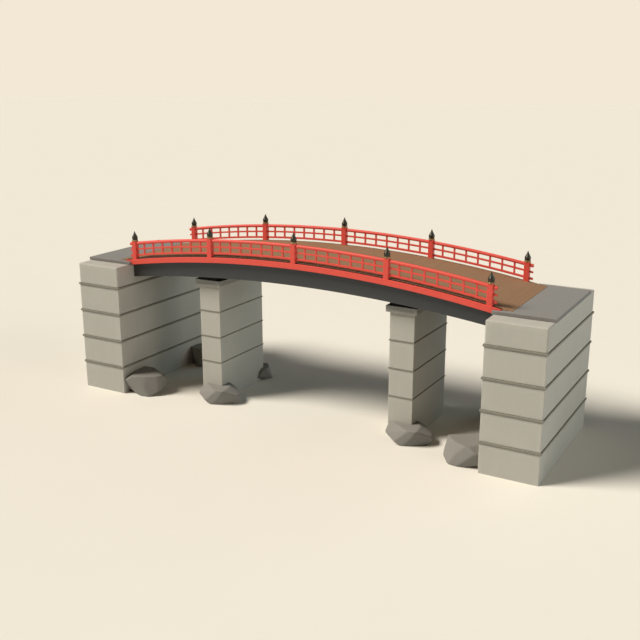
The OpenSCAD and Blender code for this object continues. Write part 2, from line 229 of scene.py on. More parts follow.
def tint(tree, colour, factor):
    """A colour made lighter or darker by a value round 1."""
    grey = add_node(tree, "CombineColor", {"Red": factor, "Green": factor, "Blue": factor}).outputs[0]
    return mix_colour(tree, 1.0, colour, grey, "MULTIPLY")


def add_bump(tree, shader, height, depth):
    """Bump of a depth in metres on the shader."""
    bump = add_node(tree, "Bump", {"Height": height, "Distance": depth, "Strength": 1.0})
    tree.links.new(bump.outputs[0], shader.inputs["Normal"])


stone_face, taken, given = new_group(
    "stone_face", ("Vector", "Clouds", "Speckle", "Streaks"), ("Tone", "Height")
)
cloud_noise = add_noise(stone_face, taken["Vector"], 0.9, 6.0, 0.6)
speckle_noise = add_noise(stone_face, taken["Vector"], 38.0, 3.0, 0.75)
drawn_down = add_node(stone_face, "Mapping", {"Vector": taken["Vector"], "Scale": (3.0, 3.0, 0.18)})
streak_noise = add_noise(stone_face, drawn_down.outputs[0], 1.5, 5.0, 0.6)
stone_tone = add_node(stone_face, "Attribute", attribute_name="shade").outputs["Fac"]
stone_tone = add_math(stone_face, "ADD", stone_tone, 1.0)
for noise, amount in ((cloud_noise, "Clouds"), (speckle_noise, "Speckle"), (streak_noise, "Streaks")):
    about_zero = add_math(stone_face, "SUBTRACT", noise, 0.5)
    swing = add_math(stone_face, "MULTIPLY", about_zero, taken[amount])
    stone_tone = add_math(stone_face, "ADD", stone_tone, swing)
tooled = add_noise(stone_face, taken["Vector"], 11.0, 5.0, 0.65)
stone_face.links.new(stone_tone, given["Tone"])
stone_face.links.new(tooled, given["Height"])

worn_edges, taken, given = new_group("worn_edges", ("Vector", "Scale", "Amount"), ("Mask",))
edge_weight = add_node(worn_edges, "Attribute", attribute_name="edge").outputs["Fac"]
wear_noise = add_noise(worn_edges, taken["Vector"], taken["Scale"])
patches = {"Value": wear_noise, "From Min": 0.3, "From Max": 0.65}
patchy = add_node(worn_edges, "MapRange", patches).outputs[0]
worn_patches = add_math(worn_edges, "MULTIPLY", edge_weight, patchy)
wear = add_math(worn_edges, "MULTIPLY", worn_patches, taken["Amount"])
worn_edges.links.new(wear, given["Mask"])


def stone_material(name, colour, rubbed, clouds, speckle, streaks, rough):
    """Stone: clouds, crystals, rain streaks and each block's own shade over one colour, a rubbed colour
    on the worn edges, and a tooled face as bump."""
    material, tree, shader, place = new_material(name)
    inputs = {"Vector": place, "Clouds": clouds, "Speckle": speckle, "Streaks": streaks}
    face = add_node(tree, "Group", inputs, node_tree=stone_face).outputs
    inputs = {"Vector": place, "Scale": 5.0, "Amount": 0.6}
    wear = add_node(tree, "Group", inputs, node_tree=worn_edges)
    stone = tint(tree, colour, face["Tone"])
    tree.links.new(mix_colour(tree, wear.outputs[0], stone, rubbed), shader.inputs["Base Color"])
    roughness = {"Value": face["Height"], "To Min": rough - 0.08, "To Max": rough + 0.08}
    tree.links.new(add_node(tree, "MapRange", roughness).outputs[0], shader.inputs["Roughness"])
    shader.inputs["Specular IOR Level"].default_value = 0.25
    add_bump(tree, shader, face["Height"], 0.008)
    return material


granite = stone_material(
    "dressed_granite", srgb(182, 174, 159), srgb(190, 181, 165),
    clouds=0.12, speckle=0.14, streaks=0.08, rough=0.86,
)
for side in ("left", "right"):
    low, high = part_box(side + "_abutment_courses")
    shells = []
    for i in range(COURSES):
        last = i == COURSES - 1
        worn = LAST_COURSE_WORN if last else COURSE_WORN
        outline = box_outline(low.x, high.x, low.y, high.y, worn, step=0.2)
        bottom = i * COURSE_PITCH + BAND_H / 2 if i else 0.0
        top = high.z if last else (i + 1) * COURSE_PITCH - BAND_H / 2
        rims = rim_stations(bottom, top, COURSE_WORN if i else 0, worn, step=0.2)
        x, y, z, edge = prism(outline, rims)
        stone = hewn(np.stack([x, y, z], -1), HEWN_DEPTH)
        shells.append((stone, edge, COURSE_SHADE * shade_of(i + low.x)))
    add_piece(side + "_abutment_stones", shells, granite, "granite", side + "_abutment_courses")


# Abutment joint bands
# Thin courses of darker, harder stone that bind the abutment and throw the rain off its faces. They
# stand a few centimetres proud all round, and their rims are worn round.
BAND_WORN = 0.018
BAND_SHADE = 0.03
BAND_NUMBER = 20
joint_stone = stone_material(
    "joint_stone", srgb(134, 127, 111), srgb(138, 131, 115),
    clouds=0.14, speckle=0.14, streaks=0.05, rough=0.84,
)
for side in ("left", "right"):
    low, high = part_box(side + "_abutment_joint_bands")
    outline = box_outline(low.x, high.x, low.y, high.y, BAND_WORN, step=0.25)
    shells = []
    for i in range(1, COURSES):
        middle = i * COURSE_PITCH
        rims = rim_stations(middle - BAND_H / 2, middle + BAND_H / 2, BAND_WORN, BAND_WORN)
        x, y, z, edge = prism(outline, rims)
        slab = hewn(np.stack([x, y, z], -1), HEWN_DEPTH)
        shells.append((slab, edge, BAND_SHADE * shade_of(BAND_NUMBER + i + low.x)))
    bands = side + "_abutment_joint_bands"
    add_piece(side + "_abutment_bands", shells, joint_stone, "joint_stone", bands)


# Coping slabs
# The landing at each end is a slab of fine grey stone on the last course, level with the deck's end.
# It is let out round the boards and the edge beams with a finger's width of joint, and its sides are
# darker than its top.
COPING_WORN = 0.016
SIDE_DARKER = 0.24
COPING_JOINT = 0.010
DECK_HALF_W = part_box("deck")[1].y
DECK_END_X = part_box("deck")[1].x
FASCIA_OUT_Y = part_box("back_fascia")[1].y
FASCIA_END_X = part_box("back_fascia")[1].x
coping_stone = stone_material(
    "coping_stone", srgb(138, 132, 124), srgb(145, 139, 130),
    clouds=0.10, speckle=0.12, streaks=0.0, rough=0.80,
)
for side, sign in (("left", -1), ("right", 1)):
    low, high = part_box(side + "_abutment_coping")
    inner, outer = sorted((abs(low.x), abs(high.x)))
    deck_x, deck_y = DECK_END_X + COPING_JOINT, DECK_HALF_W + COPING_JOINT
    beam_x, beam_y = FASCIA_END_X + COPING_JOINT, FASCIA_OUT_Y + COPING_JOINT
    half = [
        (outer, high.y), (inner, high.y), (inner, beam_y),
        (beam_x, beam_y), (beam_x, deck_y), (deck_x, deck_y),
    ]
    corners = np.array(half + [(x, -y) for x, y in half[::-1]]) * (sign, 1)
    outline = rounded_outline(corners[::sign], COPING_WORN, step=0.4)
    x, y, z, edge = prism(outline, rim_stations(low.z, high.z, 0, COPING_WORN))
    # The sides are darker below the top rim, fading to none on the top face
    side_darkening = SIDE_DARKER * np.clip((high.z - z) / COPING_WORN, 0, 1)
    shells = [(np.stack([x, y, z], -1), edge, -side_darkening)]
    add_piece(side + "_coping_slab", shells, coping_stone, "coping_stone", side + "_abutment_coping")


# Piers
# Slender piers of four granite courses with a broad cap slab, built like the abutments. The caps spread
# the load of the bearers, stand out over the shafts, and are darkened with painted shade from the
# girders above.
PIER_FOOT = 2.100
PIER_PITCH = 1.405
PIER_COURSES = 4
PIER_BAND_H = 0.056
CAP_WORN = 0.028
CAP_PAINTED_SHADE = 0.34
PIER_NUMBER = 40
for side in ("left", "right"):
    low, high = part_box(side + "_pier_courses")
    outline = box_outline(low.x, high.x, low.y, high.y, COURSE_WORN, step=0.2)
    shells = []
    for i in range(PIER_COURSES):
        bottom = PIER_FOOT + (i - 1) * PIER_PITCH + PIER_BAND_H / 2 if i else 0.0
        top = high.z if i == PIER_COURSES - 1 else PIER_FOOT + i * PIER_PITCH - PIER_BAND_H / 2
        rims = rim_stations(bottom, top, COURSE_WORN / 2 if i else 0, COURSE_WORN / 2, step=0.2)
        x, y, z, edge = prism(outline, rims)
        stone = hewn(np.stack([x, y, z], -1), HEWN_DEPTH)
        shells.append((stone, edge, COURSE_SHADE * shade_of(PIER_NUMBER + i + low.x)))
    low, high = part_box(side + "_pier_cap")
    outline = box_outline(low.x, high.x, low.y, high.y, CAP_WORN, step=0.2)
    x, y, z, edge = prism(outline, rim_stations(low.z, high.z, CAP_WORN, CAP_WORN, step=0.1))
    # The whole cap is darkened as painted shade under the girders
    shells.append((hewn(np.stack([x, y, z], -1), HEWN_DEPTH), edge, -CAP_PAINTED_SHADE))
    nodes = (side + "_pier_courses", side + "_pier_cap")
    add_piece(side + "_pier_stones", shells, granite, "granite", *nodes)


# Pier joint bands
# The same dark stone as in the abutments, sawn into thinner slabs and bedded between the courses of the
# piers. They stand only a little proud of the shafts.
PIER_BAND_WORN = 0.012
PIER_BAND_NUMBER = 60
for side in ("left", "right"):
    low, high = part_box(side + "_pier_joint_bands")
    outline = box_outline(low.x, high.x, low.y, high.y, PIER_BAND_WORN, step=0.25)
    shells = []
    for i in range(PIER_COURSES - 1):
        middle, half_h = PIER_FOOT + i * PIER_PITCH, PIER_BAND_H / 2
        rims = rim_stations(middle - half_h, middle + half_h, PIER_BAND_WORN, PIER_BAND_WORN)
        x, y, z, edge = prism(outline, rims)
        slab = hewn(np.stack([x, y, z], -1), HEWN_DEPTH / 2)
        shells.append((slab, edge, BAND_SHADE * shade_of(PIER_BAND_NUMBER + i + low.x)))
    add_piece(side + "_pier_bands", shells, joint_stone, "joint_stone", side + "_pier_joint_bands")


# Foot stones
# Boulders of a darker stone, rolled against the feet of the piers and abutments to guard the footings.
# They are split along a few flat faces and lie partly under the masonry.
STONE_TILTS = ((18, 24, 38), (-26, 20, -34), (22, -30, 8))
STONE_RISE = 1.5
SPLIT_SHARPNESS = 70.0
PIER_STONE = (2.30, 1.45, 0.82)
BACK_STONE = (1.35, 1.20, 0.70)
ABUTMENT_STONE = (2.15, 1.80, 1.08)
FRONT_TURN, BACK_TURN = 8, 28
PIER_STONE_IN, PIER_STONE_OUT = 0.06, 0.11
BACK_STONE_IN = 0.32
ABUTMENT_STONE_OUT = 0.76
FRONT_STONE_IN, REAR_STONE_IN = 1.00, 1.11


def turn_matrix(about_x, about_y, about_z):
    """Turns about X, then Y, then Z, in degrees."""
    (cx, cy, cz), (sx, sy, sz) = (f(np.radians((about_x, about_y, about_z))) for f in (np.cos, np.sin))
    about = ([[1, 0, 0], [0, cx, -sx], [0, sx, cx]], [[cy, 0, sy], [0, 1, 0], [-sy, 0, cy]])
    return np.array([[cz, -sz, 0], [sz, cz, 0], [0, 0, 1]]) @ np.array(about[1]) @ np.array(about[0])


def split_boulder(size, centre, turn, mirror):
    """A boulder cut by flat faces, as its distance from its middle in each direction: one over the
    high-power mean of (face normal x direction / face distance), which rounds the meeting lines a
    little. Directions run round the compass by columns and from straight down to up by rows."""
    half = np.array(size) / 2
    normals = [np.eye(3)] + [turn_matrix(*tilt).T for tilt in STONE_TILTS]
    normals = np.concatenate([sign * n for n in normals for sign in (1, -1)])
    reach = np.concatenate([half, half] + [half * (1, 1, STONE_RISE)] * 2 * len(STONE_TILTS))
    round_about = np.linspace(0, 2 * np.pi, 144, endpoint=False)[None]
    rise = np.linspace(-0.49, 0.49, 73)[:, None] * np.pi
    level = np.cos(rise)
    way = np.stack([
        level * np.cos(round_about), level * np.sin(round_about), np.sin(rise) + 0 * round_about
    ], -1)
    share = np.maximum(way @ normals.T / reach, 0)
    distance = (share ** SPLIT_SHARPNESS).sum(-1) ** (-1 / SPLIT_SHARPNESS)
    points = way * distance[..., None] @ turn_matrix(0, 0, turn).T
    return points * mirror + (*centre, half[2])


boulder_stone = stone_material(
    "boulder_stone", srgb(138, 131, 120), srgb(147, 139, 126),
    clouds=0.14, speckle=0.14, streaks=0.0, rough=0.88,
)
pier_low, pier_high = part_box("right_pier_courses")
block_low, block_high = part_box("right_abutment_courses")
for side, sign in (("left", -1), ("right", 1)):
    pier_x = sign * (pier_low.x + pier_high.x) / 2
    front_x = pier_x + (pier_high.x - pier_low.x) / 2 - PIER_STONE_IN
    back_x = sign * (pier_low.x + BACK_STONE_IN)
    stone_y = pier_high.y + PIER_STONE_OUT
    stones = [
        split_boulder(PIER_STONE, (front_x, -stone_y), FRONT_TURN, (1, 1, 1)),
        split_boulder(BACK_STONE, (back_x, stone_y), BACK_TURN, (sign, 1, 1)),
    ]
    shells = [(stone, 0.0, 0.0) for stone in stones]
    add_piece(side + "_pier_boulders", shells, boulder_stone, "boulder", side + "_pier_foot_stones")
    block_x = sign * (block_low.x - ABUTMENT_STONE_OUT)
    front_y, rear_y = FRONT_STONE_IN - block_high.y, block_high.y - REAR_STONE_IN
    stones = [
        split_boulder(ABUTMENT_STONE, (block_x, front_y), FRONT_TURN, (sign, -1, 1)),
        split_boulder(ABUTMENT_STONE, (block_x, rear_y), BACK_TURN, (sign, 1, 1)),
    ]
    shells = [(stone, 0.0, 0.0) for stone in stones]
    foot_stones = side + "_abutment_foot_stones"
    add_piece(side + "_abutment_boulders", shells, boulder_stone, "boulder", foot_stones)


# Bearers
# A thick tarred timber lies flat along each pier's cap, and its top is adzed to the curve of the
# girders that rest on it. Its near-black colour is partly tar and partly painted shade under the
# girders.
ARCH_HALF = 10.0
ARCH_FALL = 0.815
ARCH_R = (ARCH_HALF ** 2 + ARCH_FALL ** 2) / (2 * ARCH_FALL)
ARCH_AXIS_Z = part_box("deck")[1].z - ARCH_R
PLANK_T = 0.100
JOIST_H = 0.170
GIRDER_TOP_R = ARCH_R - PLANK_T - JOIST_H
GIRDER_D = 0.925
SOFFIT_FALL = 0.685
SOFFIT_R = (block_low.x ** 2 + SOFFIT_FALL ** 2) / (2 * SOFFIT_FALL)
TIMBER_WORN = 0.020


def on_arch(x, radius):
    """Height of the arc of that radius about the arch's axis."""
    return ARCH_AXIS_Z + np.sqrt(radius * radius - x * x)


def on_soffit(x):
    """Height of the girders' undersides, a flatter arc than the deck's."""
    return ARCH_AXIS_Z + GIRDER_TOP_R - GIRDER_D - SOFFIT_R + np.sqrt(SOFFIT_R * SOFFIT_R - x * x)


timber_grain, taken, given = new_group(
    "timber_grain", ("Vector", "Figure", "Fibre"), ("Tone", "Height")
)
figure = add_noise(timber_grain, taken["Vector"], 1.0, 4.0, 0.55)
fibre = add_noise(timber_grain, taken["Vector"], 7.0, 4.0, 0.7)
timber_tone = add_node(timber_grain, "Attribute", attribute_name="shade").outputs["Fac"]
timber_tone = add_math(timber_grain, "ADD", timber_tone, 1.0)
for noise, amount in ((figure, "Figure"), (fibre, "Fibre")):
    about_zero = add_math(timber_grain, "SUBTRACT", noise, 0.5)
    swing = add_math(timber_grain, "MULTIPLY", about_zero, taken[amount])
    timber_tone = add_math(timber_grain, "ADD", timber_tone, swing)
timber_grain.links.new(timber_tone, given["Tone"])
timber_grain.links.new(fibre, given["Height"])


def timber_material(name, colour, rubbed, stretch, figure, fibre, rough, shine):
    """Timber: figure and fibre drawn out along the stretch, each board's own shade, rubbed edges, and
    the fibre as bump."""
    material, tree, shader, place = new_material(name)
    lengthwise = add_node(tree, "Mapping", {"Vector": place, "Scale": stretch}).outputs[0]
    inputs = {"Vector": lengthwise, "Figure": figure, "Fibre": fibre}
    grain = add_node(tree, "Group", inputs, node_tree=timber_grain).outputs
    inputs = {"Vector": place, "Scale": 7.0, "Amount": 0.5}
    wear = add_node(tree, "Group", inputs, node_tree=worn_edges)
    timber = tint(tree, colour, grain["Tone"])
    tree.links.new(mix_colour(tree, wear.outputs[0], timber, rubbed), shader.inputs["Base Color"])
    roughness = {"Value": grain["Height"], "To Min": rough - 0.1, "To Max": rough + 0.1}
    tree.links.new(add_node(tree, "MapRange", roughness).outputs[0], shader.inputs["Roughness"])
    shader.inputs["Specular IOR Level"].default_value = shine
    add_bump(tree, shader, grain["Height"], 0.003)
    return material


# Darker than the other black timbers: partly tar, partly painted shade in the gap under the girders
tarred_timber_and_shade = timber_material(
    "tarred_timber_and_shade", srgb(16, 15, 14), srgb(28, 26, 24),
    stretch=(6.0, 0.4, 6.0), figure=0.3, fibre=0.3, rough=0.75, shine=0.15,
)
for side in ("left", "right"):
    low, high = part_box(side + "_pier_bearer")
    outline = box_outline(low.x, high.x, low.y, high.y, TIMBER_WORN, step=0.2)
    x, y, z, edge = prism(outline, rim_stations(low.z, high.z, TIMBER_WORN, TIMBER_WORN, step=0.1))
    share = (z - low.z) / (high.z - low.z)
    z = low.z + share * (on_soffit(x) - low.z)
    shells = [(np.stack([x, y, z], -1), edge, 0.0)]
    add_piece(side + "_pier_bearer_beam", shells, tarred_timber_and_shade, "black_timber", side + "_pier_bearer")


# Girders
# Three arched girders carry the deck from abutment to abutment. They are black-stained timbers bent to
# the arch, deepest at the crown, and their ends are cut flat to lie on the seats in the abutments.
BLACK_STAIN, RUBBED_BLACK = srgb(46, 43, 38), srgb(64, 60, 53)
black_timber = timber_material(
    "black_timber", BLACK_STAIN, RUBBED_BLACK,
    stretch=(0.4, 6.0, 6.0), figure=0.35, fibre=0.35, rough=0.5, shine=0.75,
)
for name in ("front_girder", "centre_girder", "back_girder"):
    low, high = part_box(name)
    outline = box_outline(low.y, high.y, -GIRDER_D, 0, TIMBER_WORN, step=0.2)
    y, down, x, edge = prism(outline, rim_stations(low.x, high.x, 0, 0, step=0.25))
    top = on_arch(x, GIRDER_TOP_R)
    z = np.maximum(top + down / GIRDER_D * (top - on_soffit(x)), low.z)
    shells = [(np.stack([x, y, z], -1), edge, 0.0)]
    add_piece(name + "_beam", shells, black_timber, "black_timber", name)


# Cross joists
# Black timbers across the girders, five to a bay, that the deck is nailed to. At each end a sill of the
# same size lies on the abutment.
JOIST_W = 0.150
JOIST_WORN = 0.010
JOISTS_EACH_WAY = 10
JOIST_SHADE = 0.1
SILL_X = 10.450
ABUTMENT_TOP_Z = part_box("right_abutment_courses")[1].z


def cross_bar(x_mid, width, r_in, r_out, half_w, worn, turn):
    """A bar across the bridge, as points and edge weight: its outline lies along the arch, with its
    height as the radius of an arc."""
    outline = box_outline(x_mid - width / 2, x_mid + width / 2, r_in, r_out, worn, turn=turn)
    x, radius, y, edge = prism(outline, rim_stations(-half_w, half_w, worn, worn, turn=turn))
    return np.stack([x, y, on_arch(x, radius)], -1), edge


black_across = timber_material(
    "black_timber_across", BLACK_STAIN, RUBBED_BLACK,
    stretch=(6.0, 0.4, 6.0), figure=0.35, fibre=0.35, rough=0.5, shine=0.75,
)
shells = []
for x_mid in [*range(-JOISTS_EACH_WAY, JOISTS_EACH_WAY + 1), -SILL_X, SILL_X]:
    bottom, top = GIRDER_TOP_R, ARCH_R - PLANK_T
    points, edge = cross_bar(x_mid, JOIST_W, bottom, top, DECK_HALF_W, JOIST_WORN, turn=3)
    if abs(x_mid) == SILL_X:
        points[..., 2] = np.maximum(points[..., 2], ABUTMENT_TOP_Z)
    shells.append((points, edge, JOIST_SHADE * shade_of(x_mid)))
add_piece("cross_joist_bars", shells, black_across, "black_timber", "cross_joists")


# Deck boards
# The walkway is a hundred brown boards laid across the joists with narrow drainage gaps. The boards are
# sawn, worn smooth by feet, and each has its own shade. Painted shade darkens the boards under the
# railings, and the sawn ends along the edge beams are nearly black.
BOARDS = 100
BOARD_GAP = 0.002
BOARD_WORN = 0.002
BOARD_UNEVEN = 0.002
BOARD_SHADE = 0.02
PAINTED_SHADE_STARTS, PAINTED_SHADE_FULL, PAINTED_SHADE = 0.34, 0.12, 0.2
END_STARTS, END_FULL, END_STAIN = 0.006, 0.002, 0.9
SHADE_AND_END_GRAIN_COLOUR = srgb(46, 30, 22)
deck_timber = timber_material(
    "deck_timber", srgb(149, 113, 82), srgb(153, 117, 86),
    stretch=(5.0, 0.35, 5.0), figure=0.14, fibre=0.16, rough=0.75, shine=0.3,
)
tree = deck_timber.node_tree
shader = tree.nodes["Principled BSDF"]
walked = shader.inputs["Base Color"].links[0].from_socket
place = add_node(tree, "TexCoord").outputs["Object"]
place = add_node(tree, "SeparateXYZ", {0: place}).outputs
along, across = (add_math(tree, "ABSOLUTE", place[axis], 0.0) for axis in ("X", "Y"))
masks = []
for starts, full, most in ((PAINTED_SHADE_STARTS, PAINTED_SHADE_FULL, PAINTED_SHADE), (END_STARTS, END_FULL, END_STAIN)):
    zone = {"From Min": DECK_HALF_W - starts, "From Max": DECK_HALF_W - full, "To Max": most}
    masks.append(add_node(tree, "MapRange", {"Value": across, **zone}).outputs[0])
# Painted shade of the railings on the boards near each edge, and dark end grain, both only along the
# edge beams
shade_and_end_grain = add_math(tree, "MAXIMUM", *masks)
shade_and_end_grain = add_math(tree, "MULTIPLY", shade_and_end_grain, add_math(tree, "LESS_THAN", along, FASCIA_END_X))
tree.links.new(mix_colour(tree, shade_and_end_grain, walked, SHADE_AND_END_GRAIN_COLOUR), shader.inputs["Base Color"])
pitch = 2 * DECK_END_X / BOARDS
shells = []
for i in range(BOARDS):
    x_mid = (i + 0.5) * pitch - DECK_END_X
    top = ARCH_R - BOARD_UNEVEN * (1 + shade_of(i + 0.5)) / 2
    width, bottom = pitch - BOARD_GAP, ARCH_R - PLANK_T
    points, edge = cross_bar(x_mid, width, bottom, top, DECK_HALF_W, BOARD_WORN, turn=2)
    shells.append((points, edge, BOARD_SHADE * shade_of(i)))
add_piece("deck_boards", shells, deck_timber, "deck_timber", "deck")


# Edge beams
# A vermilion beam along each side covers the joists' ends, a little lower than the boards. It is bent
# to the arch, painted all over, and its ends are cut flat to lie on the abutments.
FASCIA_DROP = 0.050
FASCIA_R = ARCH_R - FASCIA_DROP
FASCIA_D = 0.275
FASCIA_WORN = 0.012


def arch_bar(outline, x0, x1, worn_0=0.0, worn_1=0.0, step=0.25):
    """A bar bent to the arch, as points and edge weight: its outline gives the place across the bridge
    and the radius of the arc that each point follows from x0 to x1."""
    y, radius, x, edge = prism(outline, rim_stations(x0, x1, worn_0, worn_1, step))
    return np.stack([x, y, on_arch(x, radius)], -1), edge


def lacquer_material(name, colour, worn_colour):
    """Painted timber: brushed coats with faint cloudy shade, thin on the edges, where the darker
    undercoat shows, under a soft gloss."""
    material, tree, shader, place = new_material(name)
    clouds = add_noise(tree, place, 2.2, 5.0, 0.6)
    brushed = add_noise(tree, place, 26.0, 3.0, 0.6)
    tone = add_math(tree, "ADD", add_math(tree, "MULTIPLY", clouds, 0.16), 0.92)
    inputs = {"Vector": place, "Scale": 9.0, "Amount": 0.35}
    wear = add_node(tree, "Group", inputs, node_tree=worn_edges)
    paint = mix_colour(tree, wear.outputs[0], tint(tree, colour, tone), worn_colour)
    tree.links.new(paint, shader.inputs["Base Color"])
    roughness = {"Value": clouds, "To Min": 0.42, "To Max": 0.62}
    tree.links.new(add_node(tree, "MapRange", roughness).outputs[0], shader.inputs["Roughness"])
    shader.inputs["Specular IOR Level"].default_value = 0.35
    add_bump(tree, shader, brushed, 0.0008)
    return material


vermilion = lacquer_material("vermilion_paint", srgb(231, 84, 67), srgb(206, 70, 56))
for side in ("front", "back"):
    low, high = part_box(side + "_fascia")
    outline = box_outline(low.y, high.y, FASCIA_R - FASCIA_D, FASCIA_R, FASCIA_WORN, step=0.2)
    points, edge = arch_bar(outline, low.x, high.x)
    points[..., 2] = np.maximum(points[..., 2], low.z)
    add_piece(side + "_edge_beam", [(points, edge, 0.0)], vermilion, "vermilion", side + "_fascia")


# Posts
# Five square vermilion posts stand along each side, astride the deck's edge, with their feet cut to the
# edge beam's slope. Their corners are planed round.
POST_PITCH = 5.0
POST_W = 0.265
POST_H = 0.935
POST_WORN = 0.020
POST_IN = 0.050
RAIL_Y = DECK_HALF_W - POST_IN
post_places = POST_PITCH * np.arange(-2, 3)
for side, sign in (("front", -1), ("back", 1)):
    y_mid, half = sign * RAIL_Y, POST_W / 2
    shells = []
    for x_mid in post_places:
        outline = box_outline(x_mid - half, x_mid + half, y_mid - half, y_mid + half, POST_WORN)
        top = on_arch(x_mid, ARCH_R) + POST_H
        x, y, z, edge = prism(outline, rim_stations(0, POST_H, 0, POST_WORN, step=0.25))
        foot = on_arch(x, FASCIA_R)
        z = foot + z / POST_H * (top - foot)
        shells.append((np.stack([x, y, z], -1), edge, 0.0))
    add_piece(side + "_square_posts", shells, vermilion, "vermilion", side + "_posts")


# Railing bays
# Between two posts run a round top rail and two flat rails, all bent to the arch, with seven square
# balusters let into them. One bay is put together on the bench and slid in between its posts.
TOP_RAIL_Z, TOP_RAIL_D = 0.795, 0.172
FLAT_RAILS = ((0.478, 0.085, 0.090), (0.158, 0.100, 0.100))
FLAT_WORN = 0.010
BALUSTERS = 7
BALUSTER_W = 0.084
BALUSTER_WORN = 0.007


def three_rails(y_mid, x0, x1, worn_0=0.0, worn_1=0.0):
    """The shells of the top, middle and bottom rail from x0 to x1; worn ends are rounded off."""
    angle = np.linspace(0, 2 * np.pi, 20, endpoint=False)
    around = np.stack([np.cos(angle), np.sin(angle)], 1)
    middle = (y_mid, ARCH_R + TOP_RAIL_Z)
    outlines = [(middle + TOP_RAIL_D / 2 * around, around, 0 * angle)]
    for z, height, thick in FLAT_RAILS:
        r = ARCH_R + z
        outlines.append(box_outline(
            y_mid - thick / 2, y_mid + thick / 2, r - height / 2, r + height / 2, FLAT_WORN, turn=4
        ))
    return [(*arch_bar(outline, x0, x1, worn_0, worn_1), 0.0) for outline in outlines]


for side, sign in (("front", -1), ("back", 1)):
    for bay in range(4):
        y_mid, x_left = sign * RAIL_Y, post_places[bay]
        shells = three_rails(y_mid, x_left + POST_W / 2, x_left + POST_PITCH - POST_W / 2)
        for x_mid in x_left + POST_PITCH / (BALUSTERS + 1) * np.arange(1, BALUSTERS + 1):
            half = BALUSTER_W / 2
            outline = box_outline(
                x_mid - half, x_mid + half, y_mid - half, y_mid + half, BALUSTER_WORN, turn=3
            )
            bottom, top = (on_arch(x_mid, ARCH_R + z) for z in (FLAT_RAILS[1][0], TOP_RAIL_Z))
            x, y, z, edge = prism(outline, rim_stations(bottom, top, 0, 0))
            shells.append((np.stack([x, y, z], -1), edge, 0.0))
        node = f"{side}_railing_bay_{bay + 1}"
        add_piece(node + "_rails", shells, vermilion, "vermilion", node)


# Rail ends
# The three painted rails pass through the outermost posts and stop a hand's breadth beyond. Their ends
# are sawn square and rounded off.
RAIL_END_WORN = 0.018
for side, sign in (("front", -1), ("back", 1)):
    low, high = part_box(side + "_rail_ends")
    start = post_places[-1] + POST_W / 2
    shells = three_rails(sign * RAIL_Y, start, high.x, 0, RAIL_END_WORN)
    shells += three_rails(sign * RAIL_Y, low.x, -start, RAIL_END_WORN, 0)
    add_piece(side + "_rail_stubs", shells, vermilion, "vermilion", side + "_rail_ends")


# Post collars
# A turned bronze collar lies on each post's head and keeps the wet out of its end grain. It has two
# rolled bands with a groove between them.
COLLAR_H = 0.070
COLLAR_R = 0.160
ROLL_HALF_H = 0.011
ROLL_OUT = 0.010


def turned(profile, centre):
    """A profile of (radius, height) pairs turned about an upright axis: rows follow the profile and
    columns go round."""
    radius, height = np.asarray(profile, float).T
    angle = np.linspace(0, 2 * np.pi, 40, endpoint=False)[None]
    around = np.stack([np.cos(angle), np.sin(angle), 0 * angle], -1) * radius[:, None, None]
    return around + np.stack([0 * height, 0 * height, height], -1)[:, None] + centre


def bronze_material(name, colour, patina, rough):
    """Cast bronze: a brown skin with a dull patina in cloudy patches, and a rougher face where it
    lies."""
    material, tree, shader, place = new_material(name)
    clouds = add_noise(tree, place, 14.0, 5.0, 0.65)
    spread = add_node(tree, "MapRange", {"Value": clouds, "From Min": 0.42, "From Max": 0.7}).outputs[0]
    tree.links.new(mix_colour(tree, spread, colour, patina), shader.inputs["Base Color"])
    roughness = {"Value": spread, "To Min": rough, "To Max": rough + 0.2}
    tree.links.new(add_node(tree, "MapRange", roughness).outputs[0], shader.inputs["Roughness"])
    shader.inputs["Metallic"].default_value = 0.7
    add_bump(tree, shader, clouds, 0.001)
    return material


collar_bronze = bronze_material("collar_bronze", srgb(176, 146, 98), srgb(150, 124, 84), rough=0.42)
roll = np.linspace(-np.pi / 2, np.pi / 2, 7)
bulge, height = ROLL_OUT * np.cos(roll), ROLL_HALF_H * np.sin(roll)
lower = np.stack([COLLAR_R - ROLL_OUT + bulge, ROLL_HALF_H + height], 1)
collar_profile = np.concatenate([lower, lower + (0, COLLAR_H - 2 * ROLL_HALF_H)])
for side, sign in (("front", -1), ("back", 1)):
    shells = []
    for x_mid in post_places:
        top = on_arch(x_mid, ARCH_R) + POST_H
        shells.append((turned(collar_profile, (x_mid, sign * RAIL_Y, top)), 0.0, 0.0))
    add_piece(side + "_bronze_collars", shells, collar_bronze, "collar_bronze", side + "_post_collars")


# Finials
# An onion-shaped cap of dark cast bronze tops each post: a short neck, a round belly and a hollow taper
# up to the point. It is slipped over the post's tenon and pinned.
FINIAL_H = 0.480
BELLY_R, BELLY_Z = 0.153, 0.112
NECK_R = 0.135
OGEE = math.radians(29)
TIP_R = 0.002
dark_bronze = bronze_material("dark_bronze", srgb(68, 62, 49), srgb(77, 75, 61), rough=0.36)
rise = FINIAL_H - BELLY_Z
